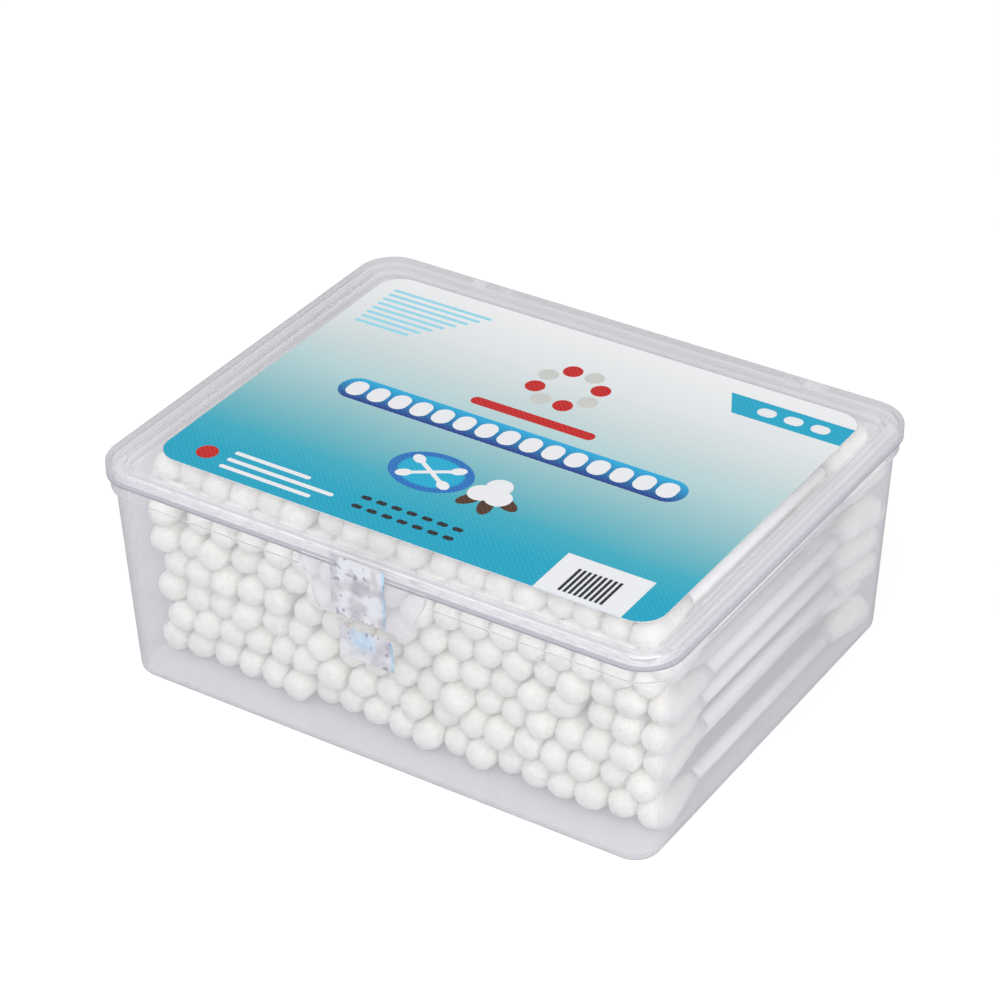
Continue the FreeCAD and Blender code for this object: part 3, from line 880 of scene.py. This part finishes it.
def tip_fuzz(verts, faces, rings, line, rng):
    """Adds short fine fibres that lie along a tip, a little off it, and returns how many points they have."""
    first = len(verts)
    for _ in range(FUZZ_COUNT):
        at = min(FUZZ_FIRST_RING + int(rng.expovariate(FUZZ_THINNING)), FUZZ_LAST_RING)
        ring = rings[at]
        middle = sum(ring, Vector()) / len(ring)
        point = ring[rng.randrange(len(ring))]
        out = (point - middle).normalized()
        out = (out - line * max(0.0, 1.0 - at / NOSE_RINGS)).normalized()
        around = out.cross(line).normalized()
        way = (around * rng.uniform(-1.0, 1.0) + line * rng.uniform(*FUZZ_SWEEPS)).normalized()
        length = rng.uniform(*FUZZ_LENGTHS) * MM
        lift = rng.uniform(*FUZZ_RISES) * FUZZ_LIFT * MM
        side = out.cross(way).normalized()
        path = []
        for share, height in FUZZ_PATH:
            curl = side * math.sin(share * FUZZ_BEND) * FUZZ_CURL * length
            spot = point + out * lift * height + way * length * share + curl
            spot.z = min(max(spot.z, (PILE_LOW - FUZZ_BELOW) * MM), (PILE_HIGH + FUZZ_ABOVE) * MM)
            path.append(spot)
        strand = []
        for k, spot in enumerate(path):
            wide = FUZZ_WIDTH * MM * (1.0 - FUZZ_TAPER * k)
            turns = [2 * math.pi * i / FUZZ_SIDES for i in range(FUZZ_SIDES)]
            strand.append([spot + (out * math.cos(a) + side * math.sin(a)) * wide for a in turns])
        add_tube(verts, faces, strand, True, True)
    return len(verts) - first


def swab_row(node, number, places):
    """One layer of fine swabs, each on the line of its plain one."""
    verts = []
    faces = []
    marks = []
    winding = []
    for k, (start, end, radius) in enumerate(places):
        line = (end - start).normalized()
        for at_front, tip, inwards in ((True, start, line), (False, end, -line)):
            first = len(faces)
            rings, wound = tip_rings(tip, inwards, radius, number * TIP_SEEDS + k * 2 + at_front)
            add_tube(verts, faces, rings if at_front else rings[::-1], at_front, not at_front)
            for wind in wound if at_front else wound[::-1]:
                winding.extend(wind)
            rng = random.Random(number * FUZZ_SEEDS + k * 2 + at_front)
            added = tip_fuzz(verts, faces, rings, inwards, rng)
            winding.extend([wound[0][0]] * added)
            marks.append((first, len(faces), 0))
        inner = STICK_START * MM
        length = (end - start).length
        stick = []
        for share in STICK_RINGS:
            middle = start + line * (inner + (length - 2 * inner) * share)
            turns = [2 * math.pi * i / STICK_SIDES for i in range(STICK_SIDES)]
            stick.append([middle + Vector((math.cos(a), 0, math.sin(a))) * STICK_RADIUS * MM for a in turns])
        first = len(faces)
        add_tube(verts, faces, stick, True, True)
        winding.extend([Vector((0, 0, 0))] * (len(STICK_RINGS) * STICK_SIDES))
        marks.append((first, len(faces), 1))
    mesh = new_mesh(node + "_fine", verts, faces, [COTTON, PAPER])
    for first, last, slot in marks:
        for i in range(first, last):
            mesh.polygons[i].material_index = slot
            mesh.polygons[i].use_smooth = len(mesh.polygons[i].vertices) == 4
    attribute = mesh.attributes.new("wound", "FLOAT_VECTOR", "POINT")
    attribute.data.foreach_set("vector", [value for point in winding for value in point])
    piece = new_piece(mesh)
    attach(piece, "tub")
    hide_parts(node)


def floor():
    """A plain floor: white to the eye with a soft shadow, and pale grey to everything else."""
    s = Shader("floor")
    grey = s.plain("ShaderNodeBsdfDiffuse", FLOOR_GREY)
    matt = s.plain("ShaderNodeBsdfDiffuse", WHITE)
    glow = s.plain("ShaderNodeEmission", WHITE)
    glow.inputs["Strength"].default_value = 1.0
    seen = s.mix_shader(FLOOR_SHADOW, glow.outputs[0], matt.outputs[0])
    rays = s.add("ShaderNodeLightPath")
    s.surface(s.mix_shader(rays.outputs["Is Camera Ray"], grey.outputs[0], seen))
    corners = [(x * FLOOR_REACH, y * FLOOR_REACH, 0) for x, y in ((-1, -1), (1, -1), (1, 1), (-1, 1))]
    piece = new_piece(new_mesh("floor", corners, [(0, 1, 2, 3)], [s.material]))
    piece.location.z = -FLOOR_DROP


def make_world():
    """Even pale light all round, seen as white."""
    world = bpy.data.worlds.new("world")
    world.use_nodes = True
    tree = world.node_tree
    tree.nodes.clear()
    out = tree.nodes.new("ShaderNodeOutputWorld")
    rays = tree.nodes.new("ShaderNodeLightPath")
    mix = tree.nodes.new("ShaderNodeMixShader")
    tree.links.new(rays.outputs["Is Camera Ray"], mix.inputs[0])
    for socket, strength in ((mix.inputs[1], WORLD_LIGHT), (mix.inputs[2], 1.0)):
        light = tree.nodes.new("ShaderNodeBackground")
        light.inputs["Color"].default_value = (*WHITE, 1)
        light.inputs["Strength"].default_value = strength
        tree.links.new(light.outputs[0], socket)
    tree.links.new(mix.outputs[0], out.inputs["Surface"])
    bpy.context.scene.world = world


bpy.context.scene.view_settings.view_transform = "Standard"
make_camera()
make_world()
floor()
soft_lamp("key", place=(-0.30, -0.45, 0.90), size=0.9, power=2.6)
soft_lamp("front_fill", place=(0.60, -0.92, 0.70), size=1.3, power=16.0)
soft_lamp("side_fill", place=(0.95, 0.1, 0.5), size=0.8, power=2.5)
soft_lamp("glint", place=(-0.46, -0.55, 0.70), size=0.2, power=0.5)

COTTON = cotton()
PAPER = paper_stick()
row_names = [f"swab_row_{index + 1}" for index in range(ROWS)]
pile = arrange_pile([swab_lines(name) for name in row_names])
for index, name in enumerate(row_names):
    swab_row(name, index + 1, pile[index])

dress("box_base", clear_plastic("tub_plastic", PLASTIC_TINT))
dress("lid", clear_plastic("lid_plastic", LID_TINT, seam=True))
GRADIENT = label_gradient()
for name in ("label_field_deep", "label_field_mid", "label_field_pale", "label_field_back"):
    dress(name, GRADIENT)
label_backing()
dress(
    "label_navy_print",
    fading_print("ink_navy", "label_navy_print", colour=(0.006, 0.022, 0.19), far_colour=(0.01, 0.33, 0.58)),
)
dress("label_white_print", plain_print("ink_white", (0.65, 0.66, 0.68)))
dress(
    "label_blue_print",
    badge_print("ink_blue", ring=(0.010, 0.13, 0.40), inside=(0.004, 0.32, 0.50), flag=(0.003, 0.30, 0.46)),
)
dress("label_black_print", plain_print("ink_black", (0.010, 0.012, 0.016)))
dress("label_red_print", plain_print("ink_red", (0.43, 0.006, 0.005)))
dress("label_grey_print", plain_print("ink_grey", (0.47, 0.48, 0.46)))
dress("label_brown_print", plain_print("ink_brown", (0.060, 0.022, 0.010)))
dress("label_pale_blue_print", plain_print("ink_pale_blue", (0.25, 0.55, 0.66)))
UPPER_FILM = seal_film("seal_film_upper", clear_share=0.75, clear_to=0.58, marks_from=0.655)
LOWER_FILM = seal_film(
    "seal_film_lower", clear_share=0.25, clear_to=0.56, marks_from=0.66, blue_middle=(-0.0014, 0.0250)
)
seal_strip("seal_upper", "lid", torn_low=0.9, torn_high=0.15, material=UPPER_FILM, seed=5)
seal_strip("seal_lower", "tub", torn_low=0.15, torn_high=0.8, material=LOWER_FILM, seed=9)
